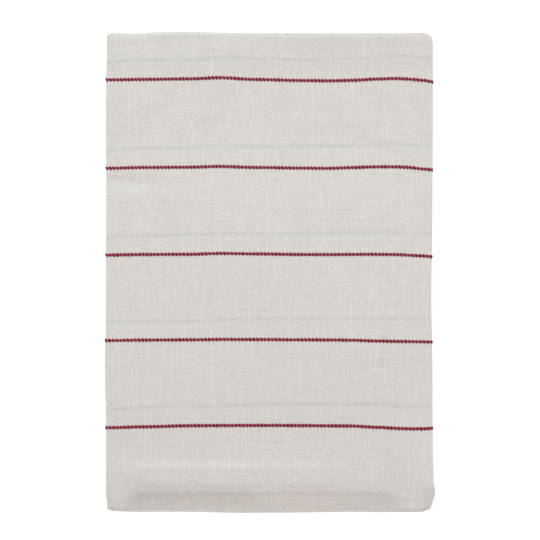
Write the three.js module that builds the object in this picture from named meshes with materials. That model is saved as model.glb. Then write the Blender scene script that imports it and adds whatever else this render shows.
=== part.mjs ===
// A woven cotton tablecloth, folded into a flat packet that lies on a table.
//
// Millimetres, +Z up. The packet lies on z = 0 with its middle over the origin.
// X runs along the woven stripes, -Y is the front and +Y is the back.
//
// The cloth is half folded along its length, which makes a bundle of plies whose folds lie at the
// left and right sides. The bundle is then half folded twice across, which stacks it in four
// levels. The last of these folds wraps the whole front. The one before it closes the upper half
// of the back, and below it the bundle's two free ends show.
//
// One ply of the solid stands for two plies of the real cloth, which is too thin to build.

import * as THREE from 'three';

// Driving dimensions
const packetWidth = 250;
const packetLength = 367;
const plyThickness = 1;
const plyGap = 0.2;
const foldsAlong = 2;
const slopeStart = 15; // from the front edge to where the top face starts to fall
const innerFoldSetBack = 19; // from the front edge to the middle of the inner fold
const foldSlack = 0.6; // radius left inside the front fold, which is not pressed flat
const levelEndSetBack = { bottom: 2.5, second: 6 }; // free ends, from the back edge
const hemSetBack = { inner: 3.5, outer: 1.5 }; // side hems, from the left edge

// Places of the mesh's lines in a flat ply. They are the same in every ply, so that plies which
// rise and fall together stay parallel and never touch.
const columnsX = [-117, -95, -35, 35, 92, 108, 117];
const rowsFromFront = [12, 19, 27, 42, 75, 150, 240, 320, 352];
const leastSpacing = 1;
const columnsAtOuterBend = 6;
const columnsAtInnerBend = 4;

// Sizes that follow
const plies = 2 ** foldsAlong;
const plyPitch = plyThickness + plyGap;
const bundleThickness = plies * plyPitch - plyGap;
const levelPitch = bundleThickness + plyGap;
const stackHeight = 4 * levelPitch - plyGap;
const sideX = packetWidth / 2;
const frontY = -packetLength / 2;
const backY = packetLength / 2;

// How far each side wanders outwards of its straight line, along the packet
const sideWander = [
  { y: -183, left: 0, right: 0.6 },
  { y: -167, left: 0, right: 1.6 },
  { y: -160, left: 0, right: 0.6 },
  { y: -150, left: 0, right: 0.3 },
  { y: -120, left: 0.1, right: -0.3 },
  { y: -75, left: 0.8, right: -0.4 },
  { y: -20, left: 0.1, right: -1.2 },
  { y: 55, left: 0, right: -0.3 },
  { y: 130, left: 0.1, right: 0 },
  { y: 183, left: -0.4, right: 0 },
];

// How far the back and front folds wander outwards, across the packet
const endWander = [
  { x: -125, back: 0, front: -0.8 },
  { x: -104, back: 0.2, front: -0.2 },
  { x: -80, back: 0.7, front: -0.6 },
  { x: -45, back: 0.4, front: -0.1 },
  { x: -16, back: -0.2, front: 0.6 },
  { x: 24, back: -0.3, front: 0.2 },
  { x: 62, back: -0.3, front: -0.4 },
  { x: 92, back: -0.2, front: 0 },
  { x: 115, back: 0, front: 0 },
  { x: 125, back: 0, front: -0.2 },
];

// How far the sides of each level stand in from the top one's, counted in levels from the table up
const levelInset = [
  { level: 0.5, left: 0.8, right: 0.3 },
  { level: 1.5, left: 1.8, right: 0.9 },
  { level: 2.5, left: 0.9, right: 1.5 },
  { level: 3.5, left: 0, right: 0 },
];

// Radius that each corner has when seen from above
const cornerRadius = { backLeft: 3, backRight: 7, frontLeft: 5, frontRight: 8 };

// How far in from a side, an end or a corner the cloth gives way to the outline's wandering
const giveAtSide = 30;
const giveAtEnd = 45;
const giveAtCorner = 2.2; // times the corner's radius

// Soft swells and hollows of the whole stack: middle, half widths, and rise at the top face
const swells = [
  { name: 'puff behind the front fold', x: -25, y: -156, alongX: 105, alongY: 22, rise: 1.4 },
  { name: 'hollow behind the puff', x: 10, y: -118, alongX: 120, alongY: 30, rise: -0.35 },
  { name: 'crown', x: -5, y: 15, alongX: 115, alongY: 120, rise: 0.5 },
  { name: 'pressed right front corner', x: 125, y: -183, alongX: 38, alongY: 30, rise: -1.5 },
  { name: 'pressed left front corner', x: -125, y: -183, alongX: 26, alongY: 26, rise: -1.2 },
  { name: 'corner held up by the stiff right folds', x: 122, y: -180, alongX: 24, alongY: 16, rise: 7 },
  { name: 'corner held up by the stiff left folds', x: -122, y: -180, alongX: 18, alongY: 16, rise: 7 },
  { name: 'thickness of the back fold', x: 40, y: 188, alongX: 190, alongY: 50, rise: 1 },
  { name: 'pressed right back corner', x: 125, y: 183, alongX: 30, alongY: 26, rise: -1 },
  { name: 'pressed left side', x: -125, y: 10, alongX: 16, alongY: 230, rise: -0.9 },
  { name: 'pressed right side', x: 125, y: 0, alongX: 14, alongY: 230, rise: -0.5 },
];

const smooth = (t) => t * t * (3 - 2 * t);
const clamp = (value) => Math.min(1, Math.max(0, value));
const mix = (a, b, t) => a + (b - a) * t;

// A column of a table, read at any place between its rows
function readTable(rows, axis, place, column) {
  const last = rows.length - 1;
  const next = rows.findIndex((row) => row[axis] > place);
  if (next === 0) return rows[0][column];
  if (next === -1) return rows[last][column];
  const [low, high] = [rows[next - 1], rows[next]];
  return mix(low[column], high[column], smooth((place - low[axis]) / (high[axis] - low[axis])));
}

// The order of the plies from the bottom up, after a strip is folded in half a number of times
function halfFoldedOrder(folds) {
  let piles = Array.from({ length: 2 ** folds }, (_, ply) => [ply]);
  while (piles.length > 1) {
    const kept = piles.slice(0, piles.length / 2);
    const turned = piles.slice(piles.length / 2).reverse();
    piles = kept.map((pile, i) => [...pile, ...turned[i].reverse()]);
  }
  return piles[0];
}

// The lines of a list that lie between two places, in the order in which they are passed
function linesBetween(lines, from, to) {
  const [low, high] = [Math.min(from, to) + leastSpacing, Math.max(from, to) - leastSpacing];
  const passed = lines.filter((line) => line > low && line < high);
  return passed.sort((a, b) => (a - b) * Math.sign(to - from));
}

// The bundle's section, cut across the stripes' direction: x, and depth below its outer face.
// Each point of the centre line carries its normal, so that both faces come from it.
function sectionCentreline() {
  const outsideIn = halfFoldedOrder(foldsAlong).reverse();
  const depthOf = (ply) => plyThickness / 2 + outsideIn.indexOf(ply) * plyPitch;
  const bendRadius = (ply) => Math.abs(depthOf(ply + 1) - depthOf(ply)) / 2;
  const bendsAt = (side) => [...Array(plies - 1).keys()].filter((ply) => (ply % 2 ? -1 : 1) === side);
  const bendCentre = (side) =>
    side * (sideX - plyThickness / 2 - Math.max(...bendsAt(side).map(bendRadius)));
  const points = [];

  for (let ply = 0; ply < plies; ply++) {
    const heading = ply % 2 ? -1 : 1;
    const from = ply === 0 ? -sideX + hemSetBack.inner : bendCentre(-heading);
    const to = ply === plies - 1 ? -sideX + hemSetBack.outer : bendCentre(heading);
    for (const x of [...(ply === 0 ? [from] : []), ...linesBetween(columnsX, from, to), to]) {
      points.push({ x, depth: depthOf(ply), nx: 0, nd: heading });
    }
    if (ply === plies - 1) break;

    const middle = (depthOf(ply) + depthOf(ply + 1)) / 2;
    const radius = bendRadius(ply);
    const start = depthOf(ply) > middle ? Math.PI / 2 : -Math.PI / 2;
    const sweep = heading * (start > 0 ? -Math.PI : Math.PI);
    const outwards = sweep < 0 ? 1 : -1;
    const steps = radius > plyPitch ? columnsAtOuterBend : columnsAtInnerBend;
    for (let step = 1; step <= steps; step++) {
      const angle = start + (sweep * step) / steps;
      points.push({
        x: bendCentre(heading) + radius * Math.cos(angle),
        depth: middle + radius * Math.sin(angle),
        nx: outwards * Math.cos(angle),
        nd: outwards * Math.sin(angle),
      });
    }
  }
  return points;
}

// The closed outline of the section: along one face of the cloth and back along the other
function sectionOutline() {
  const half = plyThickness / 2;
  const centreline = sectionCentreline();
  const face = (side) => centreline.map((p) => ({
    x: p.x + side * half * p.nx,
    depth: p.depth + side * half * p.nd,
  }));
  return [...face(1), ...face(-1).reverse()];
}

// The bundle's way through the stack, as pairs of points: on its outer and on its inner face
function stackStations() {
  const stations = [];
  const level = (number) => ({
    low: (number - 1) * levelPitch,
    high: (number - 1) * levelPitch + bundleThickness,
  });
  const rowsY = rowsFromFront.map((distance) => frontY + distance);
  const lay = (fromY, toY, outerZ, innerZ) => {
    for (const y of [...linesBetween(rowsY, fromY, toY), toY]) {
      stations.push({ outer: { y, z: outerZ }, inner: { y, z: innerZ } });
    }
  };
  // Angle 0 is below the centre, a quarter turn is in front of it and a half turn above it
  const turn = (centre, from, to, outerRadius, innerRadius, steps) => {
    const rim = (radius, angle) => ({
      y: centre.y - radius * Math.sin(angle),
      z: centre.z - radius * Math.cos(angle),
    });
    for (let step = 1; step <= steps; step++) {
      const angle = mix(from, to, step / steps);
      stations.push({ outer: rim(outerRadius, angle), inner: rim(innerRadius, angle) });
    }
  };

  const frontRadius = bundleThickness + foldSlack;
  const nose = { y: frontY + frontRadius, z: frontRadius };
  const crease = { y: frontY + slopeStart, z: stackHeight - frontRadius };
  const slope = Math.atan2(crease.z - nose.z, crease.y - nose.y);
  const closedRadius = plyGap / 2;
  const tightRadius = bundleThickness + closedRadius;
  const backFold = { y: backY - tightRadius, z: level(4).low - closedRadius };
  const innerFold = { y: frontY + innerFoldSetBack, z: level(3).low - closedRadius };
  const bottomEnd = backY - levelEndSetBack.bottom;
  const secondEnd = backY - levelEndSetBack.second;

  // Bottom level, from its free end at the back to the front
  stations.push({ outer: { y: bottomEnd, z: 0 }, inner: { y: bottomEnd, z: bundleThickness } });
  lay(bottomEnd, nose.y, 0, bundleThickness);
  // Last fold: round the nose, up the slope, and over the crease on to the top
  turn(nose, 0, Math.PI - slope, frontRadius, foldSlack, 6);
  turn(
    { y: (nose.y + crease.y) / 2, z: (nose.z + crease.z) / 2 },
    Math.PI - slope, Math.PI - slope, frontRadius, foldSlack, 1,
  );
  turn(crease, Math.PI - slope, Math.PI, frontRadius, foldSlack, 3);
  // Top level, and the fold that closes the upper half of the back
  lay(crease.y, backFold.y, level(4).high, level(4).low);
  turn(backFold, Math.PI, 2 * Math.PI, tightRadius, closedRadius, 6);
  // Third level, the inner fold at the front, and the second level to its free end at the back
  lay(backFold.y, innerFold.y, level(3).low, level(3).high);
  turn(innerFold, Math.PI, 0, closedRadius, tightRadius, 5);
  lay(innerFold.y, secondEnd, level(2).high, level(2).low);
  return stations;
}

// How far a round corner pulls a point inwards, for a point at some distance from the end
function cornerPull(radius, fromEnd) {
  const reach = clamp(1 - fromEnd / radius);
  return radius * (1 - Math.sqrt(1 - reach * reach));
}

// Moves a point of the even packet to where the real one has it: the wandering outline, the
// round corners and the swells. The underside stays flat, because heights are only scaled.
function settle({ x, y, z }) {
  const side = x < 0 ? 'left' : 'right';
  const end = y < 0 ? 'front' : 'back';
  const fromEnd = Math.max(0, backY - Math.abs(y));
  const radius = cornerRadius[`${end}${side === 'left' ? 'Left' : 'Right'}`];
  const outwards = { x: Math.sign(x), y: Math.sign(y) };

  const fromSide = sideX - Math.abs(x);
  const nearSide = smooth(clamp(1 - fromSide / giveAtSide));
  const nearCorner = smooth(clamp(1 - fromSide / (giveAtCorner * radius)));
  const nearEnd = smooth(clamp(1 - fromEnd / giveAtEnd));
  const awayFromEnd = smooth(clamp(fromEnd / giveAtSide));
  const inset = awayFromEnd * readTable(levelInset, 'level', z / levelPitch, side);
  const wanderX = nearSide * (readTable(sideWander, 'y', y, side) - inset);
  const wanderY = nearEnd * readTable(endWander, 'x', x, end);
  const pull = nearCorner * cornerPull(radius, fromEnd);

  const rise = swells.reduce((sum, swell) => {
    const across = clamp(1 - Math.abs(x - swell.x) / swell.alongX);
    const along = clamp(1 - Math.abs(y - swell.y) / swell.alongY);
    return sum + swell.rise * smooth(across) * smooth(along);
  }, 0);

  return new THREE.Vector3(
    x + outwards.x * (wanderX - pull),
    y + outwards.y * wanderY,
    z * (1 + rise / stackHeight),
  );
}

// The folded cloth: the section swept through the stack, closed at both free ends
function foldedCloth() {
  const outline = sectionOutline();
  const stations = stackStations();
  const around = outline.length;
  const points = [];
  const triangles = [];

  for (const { outer, inner } of stations) {
    for (const { x, depth } of outline) {
      const t = depth / bundleThickness;
      points.push({ x, y: mix(outer.y, inner.y, t), z: mix(outer.z, inner.z, t) });
    }
  }
  // Seen from above, each four-sided face is split along the same diagonal in every ply
  for (let row = 0; row < stations.length - 1; row++) {
    for (let i = 0; i < around; i++) {
      const here = row * around + i;
      const beside = row * around + ((i + 1) % around);
      const [next, nextBeside] = [here + around, beside + around];
      const alongX = points[beside].x - points[here].x;
      const alongY = points[next].y - points[here].y;
      if (alongX * alongY < 0) triangles.push(here, next, beside, beside, next, nextBeside);
      else triangles.push(here, nextBeside, beside, here, next, nextBeside);
    }
  }
  const lastRow = (stations.length - 1) * around;
  for (let i = 0; i < around / 2 - 1; i++) {
    const [a, b] = [i, i + 1];
    const [d, c] = [around - 1 - i, around - 2 - i];
    triangles.push(a, b, c, a, c, d);
    triangles.push(lastRow + a, lastRow + c, lastRow + b, lastRow + a, lastRow + d, lastRow + c);
  }

  const geometry = new THREE.BufferGeometry();
  geometry.setFromPoints(points.map(settle));
  geometry.setIndex(triangles);
  geometry.computeVertexNormals();
  return geometry;
}

const undyedCotton = new THREE.MeshStandardMaterial({
  color: '#dcd8d2',
  roughness: 0.92,
  metalness: 0,
});

const cloth = new THREE.Mesh(foldedCloth(), undyedCotton);
cloth.name = 'cloth';
cloth.geometry.computeBoundingBox();
const { min, max } = cloth.geometry.boundingBox;
cloth.position.set(-(min.x + max.x) / 2, -(min.y + max.y) / 2, 0);

const tablecloth = new THREE.Group();
tablecloth.name = 'tablecloth';
tablecloth.add(cloth);

export default tablecloth;
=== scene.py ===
import math

import bpy
import numpy as np
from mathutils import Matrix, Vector, noise


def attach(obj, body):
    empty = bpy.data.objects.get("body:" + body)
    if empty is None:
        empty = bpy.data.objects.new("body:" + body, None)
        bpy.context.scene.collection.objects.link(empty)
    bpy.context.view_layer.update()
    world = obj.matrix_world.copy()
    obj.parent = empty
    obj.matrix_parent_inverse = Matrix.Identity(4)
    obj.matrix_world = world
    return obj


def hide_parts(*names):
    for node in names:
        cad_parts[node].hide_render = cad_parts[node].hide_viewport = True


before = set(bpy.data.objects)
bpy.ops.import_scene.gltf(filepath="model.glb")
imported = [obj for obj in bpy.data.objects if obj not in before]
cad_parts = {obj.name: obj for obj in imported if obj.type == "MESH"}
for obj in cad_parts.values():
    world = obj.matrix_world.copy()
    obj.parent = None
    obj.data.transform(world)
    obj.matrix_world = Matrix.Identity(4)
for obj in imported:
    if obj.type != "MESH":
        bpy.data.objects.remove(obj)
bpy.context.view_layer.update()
MM = 0.001

# The camera looks down on the packet from nearly straight above, leaning a little to the front.
# Its lens is very long, because the packet's two long sides show parallel.
picture_px = 540
px_per_mm = 1.308
packet_centre_px = (270.1, 272.3)
aim_height = 10 * MM  # half the packet's
lean = math.radians(3)
camera_distance = 8.0
camera_reach = 50
sensor = 36.0

aim = Vector((
    (picture_px / 2 - packet_centre_px[0]) / px_per_mm * MM,
    (packet_centre_px[1] - picture_px / 2) / px_per_mm * MM,
    aim_height,
))
camera_data = bpy.data.cameras.new("camera")
camera_data.sensor_width = sensor
camera_data.lens = camera_distance * sensor / (picture_px / px_per_mm * MM)
camera_data.clip_end = camera_reach
camera = bpy.data.objects.new("camera", camera_data)
camera.location = aim + camera_distance * Vector((0, -math.sin(lean), math.cos(lean)))
camera.rotation_euler = (lean, 0, 0)
bpy.context.collection.objects.link(camera)
bpy.context.scene.camera = camera


# The cloth is one sheet of plain woven cotton, 145 by 200 cm with its hems. It is half folded
# three times along its length, whose folds lie at the left and right, and then twice across.
# Lengths in this section are in mm until the mesh is made.
packet_width = 250
packet_length = 367
ply_thickness = 0.47
ply_gap = 0.12
folds_along = 3
levels = 4  # from the two folds across
level_gap = 0.2
lift = 0.2  # the stitches underneath hold the cloth off the table
crease_set_back = 15.3  # from the front to where the top begins to slope down
inner_fold_set_back = 19
fold_slack = 0.6
level_end_set_back = {"bottom": 2.5, "second": 6}

plies = 2 ** folds_along
ply_pitch = ply_thickness + ply_gap
bundle_thickness = plies * ply_pitch - ply_gap
level_pitch = bundle_thickness + level_gap
stack_height = levels * level_pitch - level_gap
front_radius = bundle_thickness + fold_slack
side_x = packet_width / 2
back_y = packet_length / 2
front_y = -back_y
crease_y = front_y + crease_set_back

# How far a side hem or a fold stays back from the packet's side, by the plies that it joins
side_set_back = {"start hem": 3.6, "end hem": 1.7, (3, 4): 1.1}
# How far each ply's end hem stays back from its level's end, at the left and at the right, and over
# what length the cloth gives way to it
ply_ends = [
    {"ply": 0, "left": 1.9, "right": 0.7},
    {"ply": 1, "left": 0.0, "right": 0.5},
    {"ply": 2, "left": 0.8, "right": 2.1},
    {"ply": 3, "left": 2.6, "right": 2.0},
    {"ply": 4, "left": 1.2, "right": 2.9},
    {"ply": 5, "left": 3.1, "right": 1.6},
    {"ply": 6, "left": 1.0, "right": 1.7},
    {"ply": 7, "left": 2.3, "right": 0.4},
]
ply_end_give = 60
hem_width = 13
hem_thickness = 0.52
hem_end_rounding = (0.35, 0.8)  # the share of its thickness in its two last rows

# Places of the mesh's lines, the same in all plies, and finer ones for the ply that shows on top
columns = [22, 60, 85, 97, 103, 109, 115, 119]
columns = sorted([-x for x in columns] + columns)
fine_column_spacing = 7
rows_from_front = [12, 15.5, 19, 23, 27, 31.5, 36, 41, 46, 52, 59, 67, 77, 88, 100, 113, 126, 139]
rows_from_front += [152, 166, 180, 194, 208, 222, 236, 250, 263, 276, 289, 301, 312, 322, 331, 339]
rows_from_front += [345, 350, 354, 357, 360]
fine_row_spacing = 6
front_part = 46  # the part of the top that rolls down to its crease
front_row_spacing = 2.4
crease_rows = [crease_y + 0.85, -79, -75, -73, -68, 61.5, 64, 69, 71, 75]
end_rows = [0.1, 0.35, 2, 4.5, 8, 13, 14.2]
least_spacing = 0.8
# Steps round a bend between two plies, by how many plies apart they lie, and round the folds across
bend_steps = {1: 3, 3: 5, 5: 7, 7: 10}
fold_steps = {"front": 14, "crease": 6, "back": 14, "inner": 8}
slope_shares = (0.15, 0.3, 0.42, 0.54, 0.66, 0.77, 0.88)

# How far each side wanders outwards of its straight line, along the packet
side_wander = [
    {"y": -183, "left": 0, "right": 0.6},
    {"y": -167, "left": 0, "right": 1.6},
    {"y": -160, "left": 0, "right": 0.6},
    {"y": -150, "left": 0, "right": 0.3},
    {"y": -120, "left": 0.1, "right": -0.3},
    {"y": -75, "left": 0.8, "right": -0.4},
    {"y": -20, "left": 0.1, "right": -1.2},
    {"y": 55, "left": 0, "right": -0.3},
    {"y": 130, "left": 0.1, "right": 0},
    {"y": 183, "left": -0.4, "right": 0},
]
# How far the back and front folds wander outwards, across the packet. The places are columns that
# all plies share, so that the nested plies stay apart.
end_wander = [
    {"x": -125, "back": 0, "front": -0.8},
    {"x": -103, "back": -0.4, "front": -0.2},
    {"x": -85, "back": 0.5, "front": -0.5},
    {"x": -60, "back": 0.6, "front": -0.4},
    {"x": -22, "back": -0.1, "front": 0.5},
    {"x": 22, "back": -0.3, "front": 0.2},
    {"x": 60, "back": -0.3, "front": -0.4},
    {"x": 85, "back": -0.2, "front": 0},
    {"x": 115, "back": 0, "front": 0},
    {"x": 125, "back": 0, "front": -0.2},
]
# How far the sides of each level stand in from the top one's, counted in levels from the table
level_inset = [
    {"level": 0.5, "left": 0.8, "right": 0.3},
    {"level": 1.5, "left": 1.8, "right": 0.9},
    {"level": 2.5, "left": 0.9, "right": 1.5},
    {"level": 3.5, "left": 0, "right": 0},
]
corner_radius = {"back left": 3, "back right": 7, "front left": 5, "front right": 8}
# How far in from a side or an end the cloth follows its wandering, and in how many radii a corner
give_at_side = 30
give_at_end = 45
give_at_corner = 2.2

# Smooth waves in which the folds under the top one lie back, and the levels part a little: their
# size across, along and up the packet, and how far they reach at most
waves = {
    "short": {"across": 400, "along": 23, "up": 3.6, "reach": 1.3, "seed": 0},
    "long": {"across": 400, "along": 62, "up": 6.5, "reach": 1.2, "seed": 20},
    "parting": {"across": 300, "along": 45, "up": 1, "reach": 0.45, "seed": 60},
    "back": {"across": 34, "along": 400, "up": 3.6, "reach": 1.3, "seed": 71.7},
}
side_seed = {"left": 11.3, "right": 47.9}
wavy_width = 14
even_top = {"depth": 3.5, "over": 2.5}
loose_ends = {"top": 2 * level_pitch + 3, "over": 3}

# Soft swells and hollows of the whole stack: middle, half widths, and rise at the top face
swells = [
    {"x": -20, "y": -158, "along_x": 120, "along_y": 34, "rise": 0.5},  # fullness behind the crease
    {"x": 10, "y": -112, "along_x": 120, "along_y": 34, "rise": -0.35},  # hollow behind it
    {"x": -5, "y": 15, "along_x": 115, "along_y": 120, "rise": 0.5},  # crown
    {"x": 40, "y": 188, "along_x": 190, "along_y": 50, "rise": 1.3},  # thickness of the back fold
    {"x": 125, "y": -183, "along_x": 34, "along_y": 30, "rise": -1.2},  # right front corner
    {"x": -125, "y": -183, "along_x": 26, "along_y": 26, "rise": -1.2},  # left front corner
    {"x": 125, "y": 183, "along_x": 30, "along_y": 26, "rise": -1.6},  # right back corner
    {"x": -125, "y": 10, "along_x": 16, "along_y": 230, "rise": -0.9},  # left side
    {"x": 125, "y": 0, "along_x": 14, "along_y": 230, "rise": -0.5},  # right side
    {"x": -118, "y": 67.5, "along_x": 50, "along_y": 8, "rise": -0.45},  # trough at the left
]
# The front of the top, across the packet: a low puff along the crease, and the height to which it
# rolls down at the crease
puff_y, puff_length = -143.5, 7
roll_y, roll_length = -160, 9
front_shape = [
    {"x": -112, "puff": 0.0, "roll": 0.0},
    {"x": -103, "puff": 1.1, "roll": -0.2},
    {"x": -92, "puff": 1.4, "roll": -0.1},
    {"x": -66, "puff": 1.0, "roll": -0.3},
    {"x": -30, "puff": 1.3, "roll": -0.1},
    {"x": 2, "puff": 0.9, "roll": -0.2},
    {"x": 32, "puff": 1.0, "roll": -0.1},
    {"x": 50, "puff": 0.6, "roll": -0.4},
    {"x": 66, "puff": 0.0, "roll": -0.2},
]
# The share by which the stiff folds at the sides hold the two front corners up, how steeply those
# fall towards the front, and how round their edge is
corner_hold = [
    {"x": -109, "share": 1},
    {"x": -103, "share": 0.35},
    {"x": -97, "share": 0},
    {"x": 85, "share": 0},
    {"x": 97, "share": 0.9},
    {"x": 103, "share": 1},
]
corner_fall = {"left": 0.045, "right": 0.035}
corner_edge_round = 2.6
# Soft ridges and troughs that only the uppermost ply has, which lies a little loose
creases = [
    {"x": -116, "y": 68.3, "along_x": 48, "along_y": 7.5, "rise": -0.6},
    {"x": -100, "y": 56, "along_x": 34, "along_y": 8, "rise": 0.1},
    {"x": -60, "y": 134, "along_x": 60, "along_y": 9, "rise": -0.15},
    {"x": 0, "y": 172, "along_x": 110, "along_y": 7, "rise": -0.2},
    {"x": 105, "y": 110, "along_x": 14, "along_y": 60, "rise": 0.15},
    {"x": 100, "y": 30, "along_x": 18, "along_y": 70, "rise": -0.15},
    {"x": 85, "y": -72.8, "along_x": 12, "along_y": 4.5, "rise": -0.95},
]
loose_top = {"rise": 0.6, "from side": 2, "from back": 7, "over": 12}
tight_corner = {"y": roll_y + 10, "over": 16}


def smooth(t):
    return t * t * (3 - 2 * t)


def clamp(values):
    return np.clip(values, 0, 1)


def mix(a, b, t):
    return a + (b - a) * t


def running_total(steps):
    return np.concatenate([[0], np.cumsum(steps)])


def read_table(rows, axis, places, column):
    """A column of a table, read at any places on smooth steps between its rows."""
    at = np.array([row[axis] for row in rows], float)
    values = np.array([row[column] for row in rows], float)
    places = np.clip(places, at[0], at[-1])
    upper = np.clip(np.searchsorted(at, places, side="right"), 1, len(at) - 1)
    t = (places - at[upper - 1]) / (at[upper] - at[upper - 1])
    return mix(values[upper - 1], values[upper], smooth(t))


def read_straight(rows, x, column):
    """A column of a table by x, read on straight lines between its rows."""
    return np.interp(x, [row["x"] for row in rows], [row[column] for row in rows])


def humps(rows, x, y):
    """The sum of a table's soft swells at x, y."""
    total = np.zeros_like(x)
    for row in rows:
        across = clamp(1 - np.abs(x - row["x"]) / row["along_x"])
        along = clamp(1 - np.abs(y - row["y"]) / row["along_y"])
        total += row["rise"] * smooth(across) * smooth(along)
    return total


def half_folded_order(folds):
    """The order of the plies from the bottom up, after a strip is folded in half."""
    piles = [[ply] for ply in range(2 ** folds)]
    while len(piles) > 1:
        half = len(piles) // 2
        turned = piles[half:][::-1]
        piles = [pile + turned[i][::-1] for i, pile in enumerate(piles[:half])]
    return piles[0]


def lines_between(lines, start, end):
    """The lines that lie between two places, in the order in which they are passed."""
    low, high = min(start, end) + least_spacing, max(start, end) - least_spacing
    return sorted((a for a in lines if low < a < high), reverse=end < start)


def with_finer_lines(lines, spacing):
    """The same lines with more of them wherever two are further apart than the spacing."""
    finer = [lines[0]]
    for low, high in zip(lines, lines[1:]):
        parts = max(1, round((high - low) / spacing))
        finer += [mix(low, high, part / parts) for part in range(1, parts + 1)]
    return finer


def section_points():
    """The bundle cut across, from hem to hem: x, depth below its outer face, normal and ply."""
    outside_in = half_folded_order(folds_along)[::-1]
    points = []

    def depth_of(ply):
        return ply_thickness / 2 + outside_in.index(ply) * ply_pitch

    def radius_of(ply):
        return abs(depth_of(ply + 1) - depth_of(ply)) / 2

    def bend_centre(ply):
        side = -1 if ply % 2 else 1
        widest = max(radius_of(other) for other in range(ply % 2, plies - 1, 2))
        reach = side_x - ply_thickness / 2 - widest
        return side * (reach - side_set_back.get((ply, ply + 1), 0))

    def lay_ply(ply, heading):
        start = bend_centre(ply - 1) if ply else -side_x + side_set_back["start hem"]
        end = bend_centre(ply) if ply < plies - 1 else -side_x + side_set_back["end hem"]
        lines = with_finer_lines(columns, fine_column_spacing) if ply == 1 else columns
        first = [] if ply else [start]
        for x in [*first, *lines_between(lines, start, end), end]:
            points.append((x, depth_of(ply), 0, heading, ply))

    def bend_over(ply, heading):
        middle = (depth_of(ply) + depth_of(ply + 1)) / 2
        radius = radius_of(ply)
        first = math.pi / 2 if depth_of(ply) > middle else -math.pi / 2
        sweep = heading * (-math.pi if first > 0 else math.pi)
        outwards = 1 if sweep < 0 else -1
        steps = bend_steps[round(2 * radius / ply_pitch)]
        for step in range(1, steps + 1):
            angle = first + sweep * step / steps
            points.append((
                bend_centre(ply) + radius * math.cos(angle),
                middle + radius * math.sin(angle),
                outwards * math.cos(angle),
                outwards * math.sin(angle),
                ply + step / steps,
            ))

    for ply in range(plies):
        heading = -1 if ply % 2 else 1
        lay_ply(ply, heading)
        if ply < plies - 1:
            bend_over(ply, heading)
    return np.array(points)


def stack_stations():
    """The bundle's way through the stack: y and z on its outer and on its inner face."""
    stations = []
    rows = [front_y + row for row in rows_from_front]
    front_rows = [row for row in rows if row <= front_y + front_part]
    other_rows = [row for row in rows if row >= front_y + front_part]
    top_rows = with_finer_lines(front_rows, front_row_spacing)
    top_rows += with_finer_lines(other_rows, fine_row_spacing)[1:]
    top_rows = sorted(top_rows + crease_rows)

    def low(level):
        return (level - 1) * level_pitch

    def high(level):
        return low(level) + bundle_thickness

    def lay(start, end, outer_z, inner_z, rows):
        for y in [*lines_between(rows, start, end), end]:
            stations.append((y, outer_z, y, inner_z))

    def lay_end(end, backs, outer_z, inner_z):
        for back in backs:
            stations.append((end - back, outer_z, end - back, inner_z))

    def stand_at(centre, angle, outer_radius, inner_radius):
        forwards, down = math.sin(angle), math.cos(angle)
        stations.append((
            centre[0] - outer_radius * forwards,
            centre[1] - outer_radius * down,
            centre[0] - inner_radius * forwards,
            centre[1] - inner_radius * down,
        ))

    def turn(centre, start, end, outer_radius, inner_radius, steps):
        for step in range(1, steps + 1):
            stand_at(centre, mix(start, end, step / steps), outer_radius, inner_radius)

    nose = (front_y + front_radius, front_radius)
    crease = (crease_y, stack_height - front_radius)
    uphill = math.pi - math.atan2(crease[1] - nose[1], crease[0] - nose[0])
    closed = level_gap / 2
    tight = bundle_thickness + closed
    back_fold = (back_y - tight, low(4) - closed)
    inner_fold = (front_y + inner_fold_set_back, low(3) - closed)
    bottom_end = back_y - level_end_set_back["bottom"]
    second_end = back_y - level_end_set_back["second"]
    past_hem = hem_width + 2

    # Bottom level, from its free end at the back to the front
    lay_end(bottom_end, [0, *end_rows], 0, bundle_thickness)
    lay(bottom_end - past_hem, nose[0], 0, bundle_thickness, rows)
    # Last fold: round the front, up the slope, and over the crease on to the top
    turn(nose, 0, uphill, front_radius, fold_slack, fold_steps["front"])
    for share in slope_shares:
        centre = (mix(nose[0], crease[0], share), mix(nose[1], crease[1], share))
        stand_at(centre, uphill, front_radius, fold_slack)
    turn(crease, uphill, math.pi, front_radius, fold_slack, fold_steps["crease"])
    # Top level, and the fold that closes the upper half of the back
    lay(crease[0], back_fold[0], high(4), low(4), top_rows)
    turn(back_fold, math.pi, 2 * math.pi, tight, closed, fold_steps["back"])
    # Third level, the inner fold at the front, and the second level to its free end
    lay(back_fold[0], inner_fold[0], low(3), high(3), rows)
    turn(inner_fold, math.pi, 0, closed, tight, fold_steps["inner"])
    lay(inner_fold[0], second_end - past_hem, high(2), low(2), rows)
    lay_end(second_end, [*end_rows[::-1], 0], high(2), low(2))
    return np.array(stations)


def uneven(x, y, z, wave, seed=0):
    """Smooth noise from -1 to 1 at each point, in waves of one of the table's sizes."""
    up = z / wave["up"] + (seed + wave["seed"])
    places = zip((x / wave["across"]).ravel(), (y / wave["along"]).ravel(), up.ravel())
    return np.array([noise.noise(place) for place in places]).reshape(x.shape)


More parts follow.
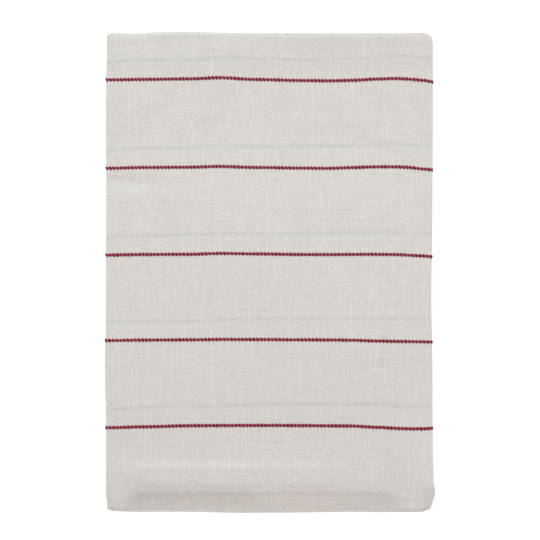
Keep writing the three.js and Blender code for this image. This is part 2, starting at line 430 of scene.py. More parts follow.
def rumple(x, y, z):
    """Lets the folds under the top one stay back unevenly, and the levels part a little."""
    seed = np.where(x < 0, side_seed["left"], side_seed["right"])
    near_side = smooth(clamp(1 - (side_x - np.abs(x)) / wavy_width))
    near_back = smooth(clamp(1 - (back_y - y) / wavy_width))
    below_top = smooth(clamp((stack_height - even_top["depth"] - z) / even_top["over"]))
    at_loose_ends = smooth(clamp((loose_ends["top"] - z) / loose_ends["over"]))

    def lie_back(name, seed):
        return clamp(0.5 + uneven(x, y, z, waves[name], seed)) * waves[name]["reach"]

    side_back = near_side * below_top * (lie_back("short", seed) + lie_back("long", seed))
    end_back = near_back * at_loose_ends * lie_back("back", 0)
    parting = uneven(x, y, 0 * z, waves["parting"], seed) * np.sin(math.pi * z / stack_height)
    apart = near_side * parting * waves["parting"]["reach"]
    return x - np.sign(x) * side_back, y - end_back, z + apart


def corner_pull(radius, from_end):
    """How far a round corner pulls a point inwards."""
    reach = clamp(1 - from_end / radius)
    return radius * (1 - np.sqrt(1 - reach * reach))


def front_rise(x, y, z):
    """How far the front of the top stands above its even shape."""
    puff, roll = (read_table(front_shape, "x", x, name) for name in ("puff", "roll"))
    puffed = puff * smooth(clamp((puff_y - y) / puff_length))
    rolled = smooth(clamp((roll_y - y) / roll_length))
    even_top_z = np.interp(y, outer_y[upper_front], outer_z[upper_front])
    past_crease = np.maximum(0, crease_y - y)
    past_edge = np.clip(front_y + corner_edge_round - y, 0, corner_edge_round)
    edge_drop = corner_edge_round - np.sqrt(corner_edge_round ** 2 - past_edge ** 2)
    fall = np.where(x < 0, corner_fall["left"], corner_fall["right"])
    held_top_z = stack_height - fall * past_crease - edge_drop
    held = read_straight(corner_hold, x, "share") * clamp(z / even_top_z)
    return mix(puffed, roll, rolled) + held * (held_top_z / even_top_z - 1) * stack_height


def settle(x, y, z):
    """Moves points of the even packet to where the real one has them."""
    left, front = x < 0, y < 0
    from_side = side_x - np.abs(x)
    from_end = np.maximum(0, back_y - np.abs(y))
    radius = np.where(
        front,
        np.where(left, corner_radius["front left"], corner_radius["front right"]),
        np.where(left, corner_radius["back left"], corner_radius["back right"]),
    )
    near_side = smooth(clamp(1 - from_side / give_at_side))
    near_corner = smooth(clamp(1 - from_side / (give_at_corner * radius)))
    near_end = smooth(clamp(1 - from_end / give_at_end))
    away_from_end = smooth(clamp(from_end / give_at_side))

    def by_side(rows, axis, places):
        on_left = read_table(rows, axis, places, "left")
        return np.where(left, on_left, read_table(rows, axis, places, "right"))

    on_front, on_back = (read_straight(end_wander, x, name) for name in ("front", "back"))
    wander_y = near_end * np.where(front, on_front, on_back)
    inset = away_from_end * by_side(level_inset, "level", z / level_pitch)
    wander_x = near_side * (by_side(side_wander, "y", y) - inset)
    pull = near_corner * corner_pull(radius, from_end)
    rise = humps(swells, x, y) + front_rise(x, y, z)
    return (
        x + np.sign(x) * (wander_x - pull),
        y + np.sign(y) * wander_y,
        z * (1 + rise / stack_height),
    )


section_x, section_depth, normal_x, normal_depth, section_ply = section_points().T
outer_y, outer_z, inner_y, inner_z = stack_stations().T
section_count, row_count = len(section_x), len(outer_y)
on_top_level = outer_z > stack_height - 0.01
# Where the outer face of the front goes from its foremost point up to the crease
upper_front = (outer_z > front_radius) & (np.arange(row_count) <= np.argmax(on_top_level))
length_along = running_total(np.hypot(np.diff(section_x), np.diff(section_depth)))
steps_across = np.hypot(np.diff(outer_y), np.diff(outer_z))
length_across = running_total(steps_across)

# Half thickness by place: thicker where the cloth is turned in at its hems, round at its edges
half = np.full((row_count, section_count), ply_thickness / 2)
from_side_hem = np.minimum(length_along, length_along[-1] - length_along)
half[:, from_side_hem < hem_width] = hem_thickness / 2
hem_rows = 1 + sum(row <= hem_width for row in end_rows)
half[:hem_rows] = half[-hem_rows:] = hem_thickness / 2
for row, share in enumerate(hem_end_rounding):
    half[[row, -1 - row]] *= share
edge_turns = np.radians([45, 0, -45])


def two_faces(values, normals):
    """The section's values on the two faces of the cloth, row by row."""
    return [values + side * half * normals for side in (1, -1)]


def closed_outline(faces, first_edge, last_edge):
    """Each row's outline: along one face, round the last hem, back on the other, round the first."""
    return np.concatenate([faces[0], last_edge, faces[1][:, ::-1], first_edge], axis=1)


# The even packet. Both side hems end at the left, and their round edges face that way.
first_half, last_half = half[:, :1], half[:, -1:]
even_x = closed_outline(
    two_faces(section_x, normal_x),
    section_x[0] - first_half * np.cos(edge_turns[::-1]),
    section_x[-1] - last_half * np.cos(edge_turns),
)
depth = closed_outline(
    two_faces(section_depth, normal_depth),
    section_depth[0] + normal_depth[0] * first_half * np.sin(edge_turns[::-1]),
    section_depth[-1] + normal_depth[-1] * last_half * np.sin(edge_turns),
)
even_y = mix(outer_y[:, None], inner_y[:, None], depth / bundle_thickness)
even_z = mix(outer_z[:, None], inner_z[:, None], depth / bundle_thickness)
places = np.arange(section_count)
edge_places = np.full(len(edge_turns), section_count - 1)
outline_place = np.concatenate([places, edge_places, places[::-1], 0 * edge_places])
outline_ply = section_ply[outline_place]
around = len(outline_place)

# The plies' end hems don't lie flush
ends_left, ends_right = (read_table(ply_ends, "ply", outline_ply, name) for name in ("left", "right"))
set_back = mix(ends_left, ends_right, clamp(even_x / packet_width + 0.5))
from_free_end = np.minimum(length_across, length_across[-1] - length_across)[:, None]
even_y = even_y - set_back * smooth(clamp(1 - from_free_end / ply_end_give))

x, y, z = settle(*rumple(even_x, even_y, even_z))
top_ply = on_top_level[:, None] & np.isclose(outline_ply, 1)
loose = smooth(clamp((side_x - loose_top["from side"] - np.abs(even_x)) / loose_top["over"]))
loose = loose * smooth(clamp((back_y - loose_top["from back"] - np.abs(y)) / loose_top["over"]))
near_front = smooth(clamp((tight_corner["y"] - y) / tight_corner["over"]))
loose = loose * (1 - read_straight(corner_hold, x, "share") * near_front)
z = z + top_ply * loose * np.maximum(0, loose_top["rise"] + humps(creases, x, y))
z = lift + z * (1 - lift / stack_height)
x = x - (x.min() + x.max()) / 2
y = y - (y.min() + y.max()) / 2

vertices = np.stack([x, y, z], -1).reshape(-1, 3) * MM
faces = []
for row in range(row_count - 1):
    for place in range(around):
        here, beside = row * around + place, row * around + (place + 1) % around
        faces.append((here, here + around, beside + around, beside))
# The cloth's two ends, between its faces, and their round corners
other_face = section_count + len(edge_turns)
ends = []
for place in range(section_count - 1):
    opposite = other_face + section_count - 1 - place
    ends.append([place, place + 1, opposite - 1, opposite])
ends.append([*range(section_count - 1, other_face + 1)])
ends.append([*range(other_face + section_count - 1, around), 0])
for end in ends:
    faces.append(tuple(end))
    faces.append(tuple((row_count - 1) * around + place for place in end[::-1]))

# Places on the flat cloth: u along the woven stripes, v across them from the middle stripe
stripe_pitch = 66.3
middle_stripe_y = 13.2
stripe_offset = {"s1": 1.35, "s2": 0.15, "s3": 0.0, "s4": 0.65, "s5": 1.45}
front_ease = 0.88  # the cloth between the front stripe and the front fold is drawn out by this much
front_ease_above = 4.5
skew = 3.5  # each ply lies this much further back than the last one, over its width
# How far each stripe drifts towards the back of its straight line, and how far from the middle of
# the top, in v, all of that and none of it is left
stripe_drift = [
    {"x": -122, "s1": -0.2, "s2": -0.4, "s3": -0.4, "s4": -0.1, "s5": -0.8},
    {"x": -95, "s1": 0.1, "s2": 0.1, "s3": 0.0, "s4": 0.2, "s5": -0.2},
    {"x": -60, "s1": 0.4, "s2": 0.3, "s3": 0.1, "s4": 0.4, "s5": 0.6},
    {"x": -39, "s1": 1.4, "s2": 0.9, "s3": 0.8, "s4": 0.7, "s5": 0.7},
    {"x": -11, "s1": 0.0, "s2": 0.1, "s3": 0.4, "s4": 0.6, "s5": 0.8},
    {"x": 25, "s1": -0.8, "s2": -0.4, "s3": -0.1, "s4": 0.4, "s5": 0.7},
    {"x": 45, "s1": -1.0, "s2": -0.6, "s3": -0.1, "s4": 0.3, "s5": 0.5},
    {"x": 62, "s1": -0.7, "s2": 0.0, "s3": 0.0, "s4": 0.1, "s5": 0.4},
    {"x": 80, "s1": 0.3, "s2": 0.6, "s3": 0.1, "s4": -0.5, "s5": -0.5},
    {"x": 98, "s1": 0.8, "s2": 0.6, "s3": -0.1, "s4": -0.8, "s5": -1.4},
    {"x": 108, "s1": 0.1, "s2": 0.0, "s3": -0.7, "s4": -1.0, "s5": -1.7},
    {"x": 117, "s1": -0.6, "s2": -1.1, "s3": -1.1, "s4": -1.1, "s5": -1.7},
    {"x": 125, "s1": -1.9, "s2": -1.6, "s3": -1.7, "s4": -1.3, "s5": -1.2},
]
drift_reach = {"middle": 15, "all": 104, "none": 364}


def drift_at(x, y):
    """How far the stripes lie towards the back of even lines, at x, y on the top."""
    names = sorted(stripe_offset, reverse=True)
    lines = [read_table(stripe_drift, "x", x, name) + stripe_offset[name] for name in names]
    place = np.clip((y - middle_stripe_y) / stripe_pitch + 2, 0, 3.999)
    lower = place.astype(int)
    below = np.choose(lower, lines[:4])
    above = np.choose(lower, lines[1:])
    return mix(below, above, smooth(place - lower))


up_to_top = np.arange(row_count - 1) < np.flatnonzero(on_top_level)[-1]
past_front_stripe = outer_y[:-1] < middle_stripe_y - 2 * stripe_pitch
drawn_out = up_to_top & past_front_stripe & (outer_z[:-1] > front_ease_above)
row_v = running_total(steps_across * np.where(drawn_out, front_ease, 1))
row_v -= np.interp(middle_stripe_y, outer_y[on_top_level], row_v[on_top_level])
row_v = row_v[:, None]
drift_left = drift_reach["none"] - np.abs(row_v - drift_reach["middle"])
drift_share = smooth(clamp(drift_left / (drift_reach["none"] - drift_reach["all"])))

cloth_u = length_along[outline_place] + np.zeros_like(x)
second_fold_u = length_along[section_ply < 1.999][-1]
past_second_fold = np.maximum(0, cloth_u - second_fold_u) / packet_width
cloth_v = row_v - drift_at(x, y) * drift_share - skew * past_second_fold

cloth_mesh = bpy.data.meshes.new("folded_cloth")
cloth_mesh.from_pydata(vertices.tolist(), [], faces)
corner_vertex = np.empty(len(cloth_mesh.loops), int)
cloth_mesh.loops.foreach_get("vertex_index", corner_vertex)
weave = cloth_mesh.uv_layers.new(name="weave")
flat_places = np.stack([cloth_u, cloth_v], -1).reshape(-1, 2) * MM
weave.uv.foreach_set("vector", flat_places[corner_vertex].astype(np.float32).ravel())
cloth_mesh.update()
cloth_mesh.shade_smooth()
cloth = bpy.data.objects.new("folded_cloth", cloth_mesh)
bpy.context.collection.objects.link(cloth)


class Shade:
    """A shader socket in Python expressions: each operator adds a Math node."""

    def __init__(self, tree, socket=None):
        self.tree = tree
        self.socket = socket

    def node(self, kind, settings=(), sockets=(), give=0):
        """Adds a node with its settings, then its sockets' values or links, and gives an output."""
        made = self.tree.nodes.new("ShaderNode" + kind)
        for name, value in dict(settings).items():
            setattr(made, name, value)
        for key, value in dict(sockets).items():
            if isinstance(value, Shade):
                self.tree.links.new(value.socket, made.inputs[key])
            else:
                made.inputs[key].default_value = value
        return None if give is None else Shade(self.tree, made.outputs[give])

    def output(self, name):
        """Another output of the same node."""
        return Shade(self.tree, self.socket.node.outputs[name])

    def math(self, operation, *values):
        return self.node("Math", {"operation": operation}, dict(enumerate(values)))

    def __add__(self, value):
        return self.math("ADD", self, value)

    def __radd__(self, value):
        return self.math("ADD", value, self)

    def __sub__(self, value):
        return self.math("SUBTRACT", self, value)

    def __rsub__(self, value):
        return self.math("SUBTRACT", value, self)

    def __mul__(self, value):
        return self.math("MULTIPLY", self, value)

    def __rmul__(self, value):
        return self.math("MULTIPLY", value, self)

    def __truediv__(self, value):
        return self.math("DIVIDE", self, value)

    def __gt__(self, value):
        return self.math("GREATER_THAN", self, value)

    def sine(self):
        return self.math("SINE", self)

    def absolute(self):
        return self.math("ABSOLUTE", self)

    def floor(self):
        return self.math("FLOOR", self)

    def fraction(self):
        return self.math("FRACT", self)

    def at_least(self, value):
        return self.math("MAXIMUM", self, value)

    def between(self, low, high):
        """0 below low, 1 above high, and smooth between them."""
        settings = {"interpolation_type": "SMOOTHSTEP"}
        return self.node("MapRange", settings, {"Value": self, "From Min": low, "From Max": high})

    def noise(self, x, y, detail, seed):
        """Smooth noise from 0 to 1, with features about one unit wide."""
        place = self.node("CombineXYZ", {}, {0: x, 1: y, 2: seed})
        sockets = {"Vector": place, "Scale": 1.0, "Detail": detail, "Roughness": 0.5}
        return self.node("TexNoise", {"noise_dimensions": "3D"}, sockets)

    def blend(self, share, colour_a, colour_b):
        return self.node("Mix", {"data_type": "RGBA"}, {0: share, 6: colour_a, 7: colour_b}, give=2)

    def finish(self, surface):
        self.node("OutputMaterial", {}, {"Surface": surface}, give=None)


def linear(red, green, blue):
    """A colour from its 0 to 255 values as seen on a screen."""
    values = [c / 255 for c in (red, green, blue)]
    return [c / 12.92 if c < 0.04045 else ((c + 0.055) / 1.055) ** 2.4 for c in values] + [1.0]


def empty_material(name):
    material = bpy.data.materials.new(name)
    material.use_nodes = True
    material.node_tree.nodes.clear()
    return material, Shade(material.node_tree)


cool_cotton = linear(215.3, 212.8, 207.4)
warm_cotton = linear(217.8, 211.5, 206.9)
dark_cotton_and_shade = linear(178, 174, 169)
light_cotton_and_painted_light = linear(248, 246, 242)
stripe_colour = linear(129, 37, 54)
shadow_stripe_colour = linear(177, 179, 173)
husk_colour = linear(120, 100, 84)
warp_pitch = 0.66
weft_pitch = 0.60
yarn_wander = 0.5
noise_apart, noise_shift = 3.7, 0.37  # how far from one yarn to the next the noise is read
even_tone, even_hue = 0.51, 0.2
# Places where the cloth is painted lighter or darker (tone) or warmer or cooler (hue). Several rows are
# painted shade and light, each marked; the others only change the cloth's colour there. Each comes in over
# two lengths from the middle, towards the sides that are named.
painted_shade_and_tone_places = [
    {"tone": -0.05, "along v": (50, 125)},
    {"tone": -0.03, "along v": (134, 142)},
    # Painted shade: the front of the top is darker, as the light from behind falls off
    {"tone": -0.02, "front": (90, 125)},
    # Painted light: the right of the front is lighter
    {"tone": 0.04, "front": (100, 125), "right": (106, 116)},
    # Painted shade on the right front corner, where it curls down
    {"tone": -0.13, "front": (162.5, 167.5), "right": (110, 121)},
    # Painted shade on the left of the front slope, under the crease, fading towards the bottom
    {"tone": -0.10, "front": (168, 170.5), "back": (-183, -171.5), "right": (-108, -99), "left": (0, 20)},
    {"tone": -0.05, "back": (160, 170), "right": (-20, 40)},
    # Painted shade on the back fold, against the light of the soft box behind
    {"tone": -0.24, "back": (177.5, 182.5)},
    {"hue": 0.27, "front": (75, 120)},
    {"hue": 0.5, "along v": (134, 142), "right": (-20, 40)},
    # Painted light: the sides are cooler, as if lit by cooler light from the sides
    {"hue": -0.4, "sideways": (116.5, 123.5)},
]

cotton, shade = empty_material("undyed_cotton")
uv = shade.node("UVMap", {"uv_map": "weave"})
on_cloth = shade.node("SeparateXYZ", {}, {0: uv})
u, v = on_cloth * 1000, on_cloth.output("Y") * 1000
object_place = shade.node("TexCoord", {}, {}, give="Object")
on_object = shade.node("SeparateXYZ", {}, {0: object_place})
right, back, up = (on_object.output(axis) * 1000 for axis in "XYZ")


def cloth_noise(u_size, v_size, detail, seed):
    """Unevenness from -0.5 to 0.5, in patches of about this size on the cloth."""
    return shade.noise(u / u_size, v / v_size, detail, seed) - 0.5


def warp_noise(length, detail, seed):
    """Unevenness from -0.5 to 0.5 along each warp yarn, in lengths of about this size."""
    along = v / length + warp_number * noise_shift
    return shade.noise(warp_number * noise_apart, along, detail, seed) - 0.5


def weft_noise(length, detail, seed):
    """Unevenness from -0.5 to 0.5 along each weft yarn, in lengths of about this size."""
    along = u / length + weft_number * noise_shift
    return shade.noise(along, weft_number * noise_apart, detail, seed) - 0.5


def from_nearest_stripe(v):
    return ((v / stripe_pitch + 0.5).fraction() - 0.5).absolute() * stripe_pitch


# Each yarn wanders a little and crosses over and under the others
warp = (u + cloth_noise(u_size=5, v_size=3, detail=2.0, seed=1.5) * yarn_wander) / warp_pitch
weft = (v + cloth_noise(u_size=3, v_size=5, detail=2.0, seed=4.5) * yarn_wander) / weft_pitch
warp_wave, weft_wave = (warp * math.pi).sine(), (weft * math.pi).sine()
crossing = warp_wave * weft_wave
warp_height = warp_wave.absolute() * (0.5 + 0.5 * crossing)
weft_height = weft_wave.absolute() * (0.5 - 0.5 * crossing)
weave_height = warp_height.at_least(weft_height)

# Each yarn has its own tone, which changes along it, and thick soft lengths
warp_number, weft_number = warp.floor(), weft.floor()
crossing_place = shade.node("CombineXYZ", {}, {0: warp_number, 1: weft_number})
grain = shade.node("TexWhiteNoise", {"noise_dimensions": "2D"}, {"Vector": crossing_place}) - 0.5
weft_tone = weft_noise(length=16, detail=2.0, seed=2.1)
warp_slub = warp_noise(length=34, detail=0.0, seed=9.1).between(0.12, 0.22)
weft_slub = weft_noise(length=26, detail=1.0, seed=5.4).between(0.16, 0.26)
bands = cloth_noise(u_size=90, v_size=2.6, detail=2.0, seed=3.3)
tone = even_tone
for cause, share in (
    (grain, 0.20),
    (weft_tone, 0.26),
    (warp_noise(length=60, detail=3.0, seed=7.3), 0.13),
    (cloth_noise(u_size=12, v_size=4, detail=3.0, seed=5.9), 0.02),
    (cloth_noise(u_size=60, v_size=30, detail=2.0, seed=8.8), 0.045),
    (bands, 0.04),
    (bands * v.between(134, 142), 0.12),
    (warp_slub, 0.10),
    (weft_slub, 0.06),
):
    tone = tone + cause * share
hue = even_hue + cloth_noise(u_size=80, v_size=50, detail=2.0, seed=6.6) * 0.6 + weft_tone * 1.5

towards = {"right": right, "left": 0 - right, "sideways": right.absolute()}
towards |= {"front": 0 - back, "back": back, "along v": v}
for row in painted_shade_and_tone_places:
    mask = 1
    for side, place in towards.items():
        if side in row:
            mask = mask * place.between(*row[side])
    if "tone" in row:
        tone = tone + mask * row["tone"]
    else:
        hue = hue + mask * row["hue"]
# The tone and hue, which hold the painted shade and light of the table above, blend the cotton's colours
colour = shade.blend(hue.at_least(0.0), cool_cotton, warm_cotton)
colour = shade.blend((0.5 - tone).at_least(0.0) * 2, colour, dark_cotton_and_shade)
colour = shade.blend((tone - 0.5).at_least(0.0) * 2, colour, light_cotton_and_painted_light)

# Specks of cotton husk here and there, at most one in each cell of the cloth
husk_cell_u, husk_cell_v = 19, 23
husk_margin = 0.1
husk_inner, husk_outer = 0.2, 0.6
husk_rarity = 0.94
husk_share = 0.45
cell_u, cell_v = u / husk_cell_u, v / husk_cell_v
cell = shade.node("CombineXYZ", {}, {0: cell_u.floor(), 1: cell_v.floor()})
cell_noise = shade.node("TexWhiteNoise", {"noise_dimensions": "2D"}, {"Vector": cell}, give="Color")
chance = shade.node("SeparateXYZ", {}, {0: cell_noise})
place_u, place_v = ((1 - 2 * husk_margin) * chance.output(axis) + husk_margin for axis in "YZ")
away_u = (cell_u.fraction() - place_u) * husk_cell_u
away_v = (cell_v.fraction() - place_v) * husk_cell_v
husk = 1 - (away_u * away_u + away_v * away_v).between(husk_inner ** 2, husk_outer ** 2)
colour = shade.blend(husk * (chance > husk_rarity) * husk_share, colour, husk_colour)

# The stripes of the ply beneath show through the top one as faint broken grey lines
lies_back = 15.75
shadow_inner, shadow_outer = 0.4, 2.3
shadow_share = 0.24
shadow_v = v - (right * (skew / packet_width) + lies_back)
shadow = 1 - from_nearest_stripe(shadow_v).between(shadow_inner, shadow_outer)
broken = cloth_noise(u_size=14, v_size=14, detail=2.0, seed=6.1).between(-0.25, 0.1)
on_top = up.between(17.2, 18.4)
shadow = shadow * (0.35 + 0.65 * broken) * on_top
colour = shade.blend(shadow * shadow_share, colour, shadow_stripe_colour)

# Dyed yarn of the stripe's ground, which shows between its floats
ground_inner, ground_outer = 0.6, 1.25
ground_share = 0.85
ground = 1 - (from_nearest_stripe(v) + grain * 0.2).between(ground_inner, ground_outer)
colour = shade.blend(ground * ground_share, colour, stripe_colour)

height = weave_height * 0.10 + warp_slub * 0.05 + weft_slub * 0.05 + grain * 0.05
bump = shade.node("Bump", {}, {"Strength": 1.0, "Distance": MM, "Height": height})
skin = shade.node("BsdfPrincipled", {}, {
    "Base Color": colour,
    "Roughness": 0.95,
    "Specular IOR Level": 0.2,
    "Sheen Weight": 0.08,
    "Sheen Roughness": 0.5,
    "Normal": bump,
})
shade.finish(skin)
cloth_mesh.materials.append(cotton)

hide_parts("cloth")
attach(cloth, "root")


# Each stripe is a row of plump floats, which look like stitches: a thick dark red cotton yarn is
# woven in over a red ground, and its ends dip into the cloth. The floats stand nearly across the
# stripe and touch one another.
float_sizes = {
    "Pitch": 2.8 * MM,
    "Length": 3.2 * MM,
    "Width": 2.2 * MM,
    "Rise": 0.5 * MM,
    "Slant": math.radians(-64),
    "Bluntness": 0.1,
    "Unevenness": 0.1,
    "Lowest": 0.02 * MM,
}
float_segments, float_rings = 10, 7
dark_yarn = linear(115, 23, 41)
light_yarn = linear(149, 51, 67)
# The floats that the packet lies on are pressed flat to this share, and those deep inside it,
# where they can't be seen, are left out
pressed_share = 0.3
pressed_below = 3
hidden_margin = 4
hidden_low, hidden_high = 4.0, 14.5
stripes_each_way = 12
fewest_places = 10

place_grid = np.stack([x, y, z], -1)
normals = np.empty(len(vertices) * 3, np.float32)
cloth_mesh.vertex_normals.foreach_get("vector", normals)
normal_grid = normals.reshape(row_count, around, 3)
outer_ply = np.flatnonzero((section_ply > 0) & (section_ply < 2))
outer_ply = range(outer_ply[0] - 1, outer_ply[-1] + 2)


def places_across(line_v):
    """Places and normals on the cloth's outer face where v has one value, column by column."""
    found = []
    for column in outer_ply:
        v_here = cloth_v[:, column]
        row = int(np.searchsorted(v_here, line_v))
        if 0 < row < row_count:
            t = (line_v - v_here[row - 1]) / (v_here[row] - v_here[row - 1])
            grids = (place_grid, normal_grid)
            found.append([mix(grid[row - 1, column], grid[row, column], t) for grid in grids])
    return found


def is_hidden(place):
    within = abs(place[0]) < side_x - hidden_margin and abs(place[1]) < back_y - hidden_margin
    return within and hidden_low < place[2] < hidden_high


def shown_runs(found):
    """Cuts a line of places wherever it runs hidden inside the packet."""
    runs = [[]]
    for place, normal in found:
        if is_hidden(place):
            runs.append([])
        else:
            runs[-1].append((place, normal))
    return [run for run in runs if len(run) > 2]


def line_mesh(name, lines):
    """A mesh of open lines, with the cloth's normal and the floats' loft at each point."""
    mesh = bpy.data.meshes.new(name)
    points, normals, edges = [], [], []
    for line in lines:
        edges += [(n, n + 1) for n in range(len(points), len(points) + len(line) - 1)]
        points += [place for place, normal in line]
        normals += [normal for place, normal in line]
    mesh.from_pydata((np.array(points) * MM).tolist(), edges, [])
    outward = mesh.attributes.new("outward", "FLOAT_VECTOR", "POINT")
    outward.data.foreach_set("vector", np.array(normals, np.float32).ravel())
    loft = mesh.attributes.new("loft", "FLOAT", "POINT")
    loft.data.foreach_set("value", [1.0 if point[2] > pressed_below else pressed_share for point in points])
    line_object = bpy.data.objects.new(name, mesh)
    bpy.context.collection.objects.link(line_object)
    return line_object


def float_row_tree():
    """Geometry Nodes that set plump floats of yarn in a row along each line."""
    tree = bpy.data.node_groups.new("float_row", "GeometryNodeTree")
    tree.is_modifier = True
    tree.interface.new_socket("Lines", in_out="INPUT", socket_type="NodeSocketGeometry")
    for name in float_sizes:
        tree.interface.new_socket(name, in_out="INPUT", socket_type="NodeSocketFloat")
    tree.interface.new_socket("Yarn", in_out="INPUT", socket_type="NodeSocketMaterial")
    tree.interface.new_socket("Floats", in_out="OUTPUT", socket_type="NodeSocketGeometry")

    def node(kind, settings=(), sockets=()):
        made = tree.nodes.new(kind)
        for name, value in dict(settings).items():
            setattr(made, name, value)
        for key, value in dict(sockets).items():
            if isinstance(value, bpy.types.NodeSocket):
                tree.links.new(value, made.inputs[key])
            else:
                made.inputs[key].default_value = value
        return made.outputs

    def maths(operation, a, b):
        return node("ShaderNodeMath", {"operation": operation}, {0: a, 1: b})[0]

    def times(a, b):
        return maths("MULTIPLY", a, b)

    def joined(x, y, z):
        return node("ShaderNodeCombineXYZ", {}, {0: x, 1: y, 2: z})[0]

    def stored(geometry, name, value, data_type, domain):
        settings = {"data_type": data_type, "domain": domain}
        sockets = {"Geometry": geometry, "Name": name, "Value": value}
        return node("GeometryNodeStoreNamedAttribute", settings, sockets)["Geometry"]

    def named(name, data_type):
        return node("GeometryNodeInputNamedAttribute", {"data_type": data_type}, {"Name": name})[0]

    def random(seed, low, high):
        sockets = {"Min": low, "Max": high, "Seed": seed}
        return node("FunctionNodeRandomValue", {"data_type": "FLOAT"}, sockets)[1]

    def uneven_by(seed):
        return times(random(seed, -1.0, 1.0), given["Unevenness"])

    def change(kind, geometry, **sockets):
        return node(kind, {}, {"Geometry": geometry, **sockets})["Geometry"]

    given = node("NodeGroupInput")
    lines = node("GeometryNodeMeshToCurve", {}, {"Mesh": given["Lines"]})["Curve"]
    spacing = {"Curve": lines, "Length": given["Pitch"]}
    spaced = node("GeometryNodeResampleCurve", {"mode": "LENGTH"}, spacing)["Curve"]

    # One float: a ball drawn out to a blunt strand, which keeps its places on the ball
    ball_sizes = {"Segments": float_segments, "Rings": float_rings, "Radius": 1.0}
    ball = node("GeometryNodeMeshUVSphere", {}, ball_sizes)["Mesh"]
    on_ball = node("GeometryNodeInputPosition")["Position"]
    marked = stored(ball, "strand", on_ball, "FLOAT_VECTOR", "POINT")
    apart = node("ShaderNodeSeparateXYZ", {}, {0: on_ball})
    squares = maths("ADD", times(apart[0], apart[0]), times(apart[1], apart[1]))
    swelling = maths("POWER", maths("MAXIMUM", squares, 0.01), times(given["Bluntness"], -0.5))
    swollen = joined(times(apart[0], swelling), times(apart[1], swelling), apart[2])
    blunt = change("GeometryNodeSetPosition", marked, Position=swollen)
    lying = change("GeometryNodeTransform", blunt, Rotation=(0, math.pi / 2, 0))
    size = joined(times(given["Length"], 0.5), times(given["Width"], 0.5), given["Rise"])
    strand = change("GeometryNodeTransform", lying, Scale=size)

    # Each float stands out from the cloth, slants across its line and is a little uneven
    outward = named("outward", "FLOAT_VECTOR")
    tangent = node("GeometryNodeInputTangent")["Tangent"]
    upright = node(
        "FunctionNodeAxesToRotation",
        {"primary_axis": "Z", "secondary_axis": "X"},
        {"Primary Axis": outward, "Secondary Axis": tangent},
    )[0]
    slant = maths("ADD", given["Slant"], uneven_by(3))
    about = node("FunctionNodeAxisAngleToRotation", {}, {"Axis": (0, 0, 1), "Angle": slant})[0]
    facing = node(
        "FunctionNodeRotateRotation",
        {"rotation_space": "LOCAL"},
        {"Rotation": upright, "Rotate By": about},
    )[0]
    swell = maths("ADD", 1.0, uneven_by(5))
    stretch = maths("ADD", 1.0, uneven_by(8))
    scale = joined(stretch, swell, times(swell, named("loft", "FLOAT")))
    set_out = node(
        "GeometryNodeInstanceOnPoints", {},
        {"Points": spaced, "Instance": strand, "Rotation": facing, "Scale": scale},
    )["Instances"]
    dyed = stored(set_out, "dye", random(11, 0.0, 1.0), "FLOAT", "INSTANCE")
    real = change("GeometryNodeRealizeInstances", dyed)
    # The table presses flat whatever would stand below it
    loose = node("ShaderNodeSeparateXYZ", {}, {0: node("GeometryNodeInputPosition")["Position"]})
    pressed = joined(loose[0], loose[1], maths("MAXIMUM", loose[2], given["Lowest"]))
    real = change("GeometryNodeSetPosition", real, Position=pressed)
    softened = change("GeometryNodeSetShadeSmooth", real)
    finished = change("GeometryNodeSetMaterial", softened, Material=given["Yarn"])
    node("NodeGroupOutput", {}, {"Floats": finished})
    return tree


def row_of_floats(name, lines, yarn):
    """Sets floats along lines on the cloth and returns them as a plain mesh object."""
    guide = line_mesh(name + "_lines", lines)
    modifier = guide.modifiers.new("floats", "NODES")
    modifier.node_group = float_row_tree()
    for item in modifier.node_group.interface.items_tree:
        if item.name in float_sizes:
            modifier[item.identifier] = float_sizes[item.name]
        if item.name == "Yarn":
            modifier[item.identifier] = yarn
    graph = bpy.context.evaluated_depsgraph_get()
    graph.update()
    mesh = bpy.data.meshes.new_from_object(guide.evaluated_get(graph))
    mesh.name = name
    bpy.data.objects.remove(guide)
    floats = bpy.data.objects.new(name, mesh)
    bpy.context.collection.objects.link(floats)
    return floats


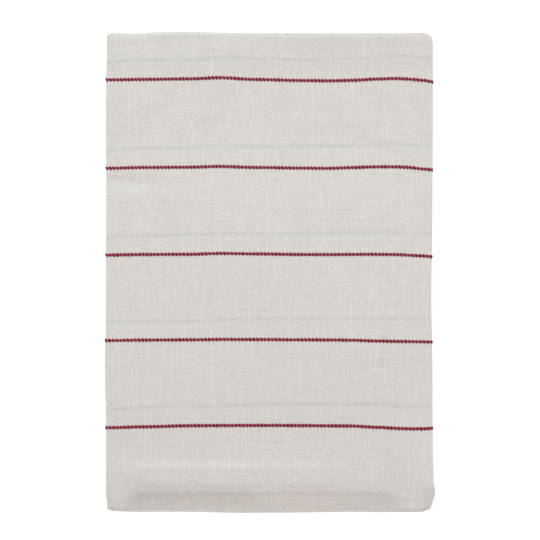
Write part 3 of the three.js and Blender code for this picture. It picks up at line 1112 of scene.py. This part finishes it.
red_yarn, shade = empty_material("dark_red_yarn")
strand = shade.node("Attribute", {"attribute_name": "strand"}, {}, give="Vector")
dye = shade.node("Attribute", {"attribute_name": "dye"}, {}, give="Fac")
on_strand = shade.node("SeparateXYZ", {}, {0: strand})
across, along = on_strand.output("Y"), on_strand.output("Z")
twist = ((across * 1.6 + along * 0.9 + dye) * 9).sine()
fibre = shade.noise(across * 6 + dye * 40, along * 2, 2.0, 1.0)
colour = shade.blend(dye * 0.5 + fibre * 0.5, dark_yarn, light_yarn)
bump = shade.node("Bump", {}, {"Strength": 0.6, "Distance": MM, "Height": twist * 0.04 + fibre * 0.08})
skin = shade.node("BsdfPrincipled", {}, {
    "Base Color": colour,
    "Roughness": 0.9,
    "Specular IOR Level": 0.15,
    "Normal": bump,
})
shade.finish(skin)

stripe_lines = []
for number in range(-stripes_each_way, stripes_each_way):
    found = places_across(number * stripe_pitch)
    if len(found) >= fewest_places:
        stripe_lines += shown_runs(found)

floats = row_of_floats("stripe_floats", stripe_lines, red_yarn)
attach(floats, "root")


# The packet is photographed on a plain white sheet, under a pale dome of light and with one
# soft box low behind it.
floor_reach = 8
floor_colour = (0.4, 0.4, 0.4, 1)
floor_glow = 0.96
box_width, box_height = 1.2, 0.55
box_place = (0, 1.5, 0.75)
box_tilt = math.radians(-63.4)
box_power = 16.2
box_colour = (0.905, 0.985, 1.0)
dome_colour = (1, 0.97, 0.975, 1)
dome_strength = 0.818

floor_mesh = bpy.data.meshes.new("floor")
floor_corners = [(x * floor_reach, y * floor_reach, 0) for x, y in ((-1, -1), (1, -1), (1, 1), (-1, 1))]
floor_mesh.from_pydata(floor_corners, [], [(0, 1, 2, 3)])
floor = bpy.data.objects.new("floor", floor_mesh)
bpy.context.collection.objects.link(floor)
white, shade = empty_material("white_floor")
skin = shade.node("BsdfPrincipled", {}, {
    "Base Color": floor_colour,
    "Roughness": 1.0,
    "Specular IOR Level": 0.0,
    "Emission Color": (1, 1, 1, 1),
    "Emission Strength": floor_glow,
})
shade.finish(skin)
floor_mesh.materials.append(white)

box_data = bpy.data.lights.new("back_soft_box", "AREA")
box_data.shape = "RECTANGLE"
box_data.size, box_data.size_y = box_width, box_height
box_data.color = box_colour
box_data.energy = box_power
soft_box = bpy.data.objects.new("back_soft_box", box_data)
soft_box.location = box_place
soft_box.rotation_euler = (box_tilt, 0, 0)
bpy.context.collection.objects.link(soft_box)

world = bpy.data.worlds.new("studio")
world.use_nodes = True
dome = world.node_tree.nodes["Background"]
dome.inputs["Color"].default_value = dome_colour
dome.inputs["Strength"].default_value = dome_strength
bpy.context.scene.world = world
bpy.context.scene.view_settings.view_transform = "Standard"
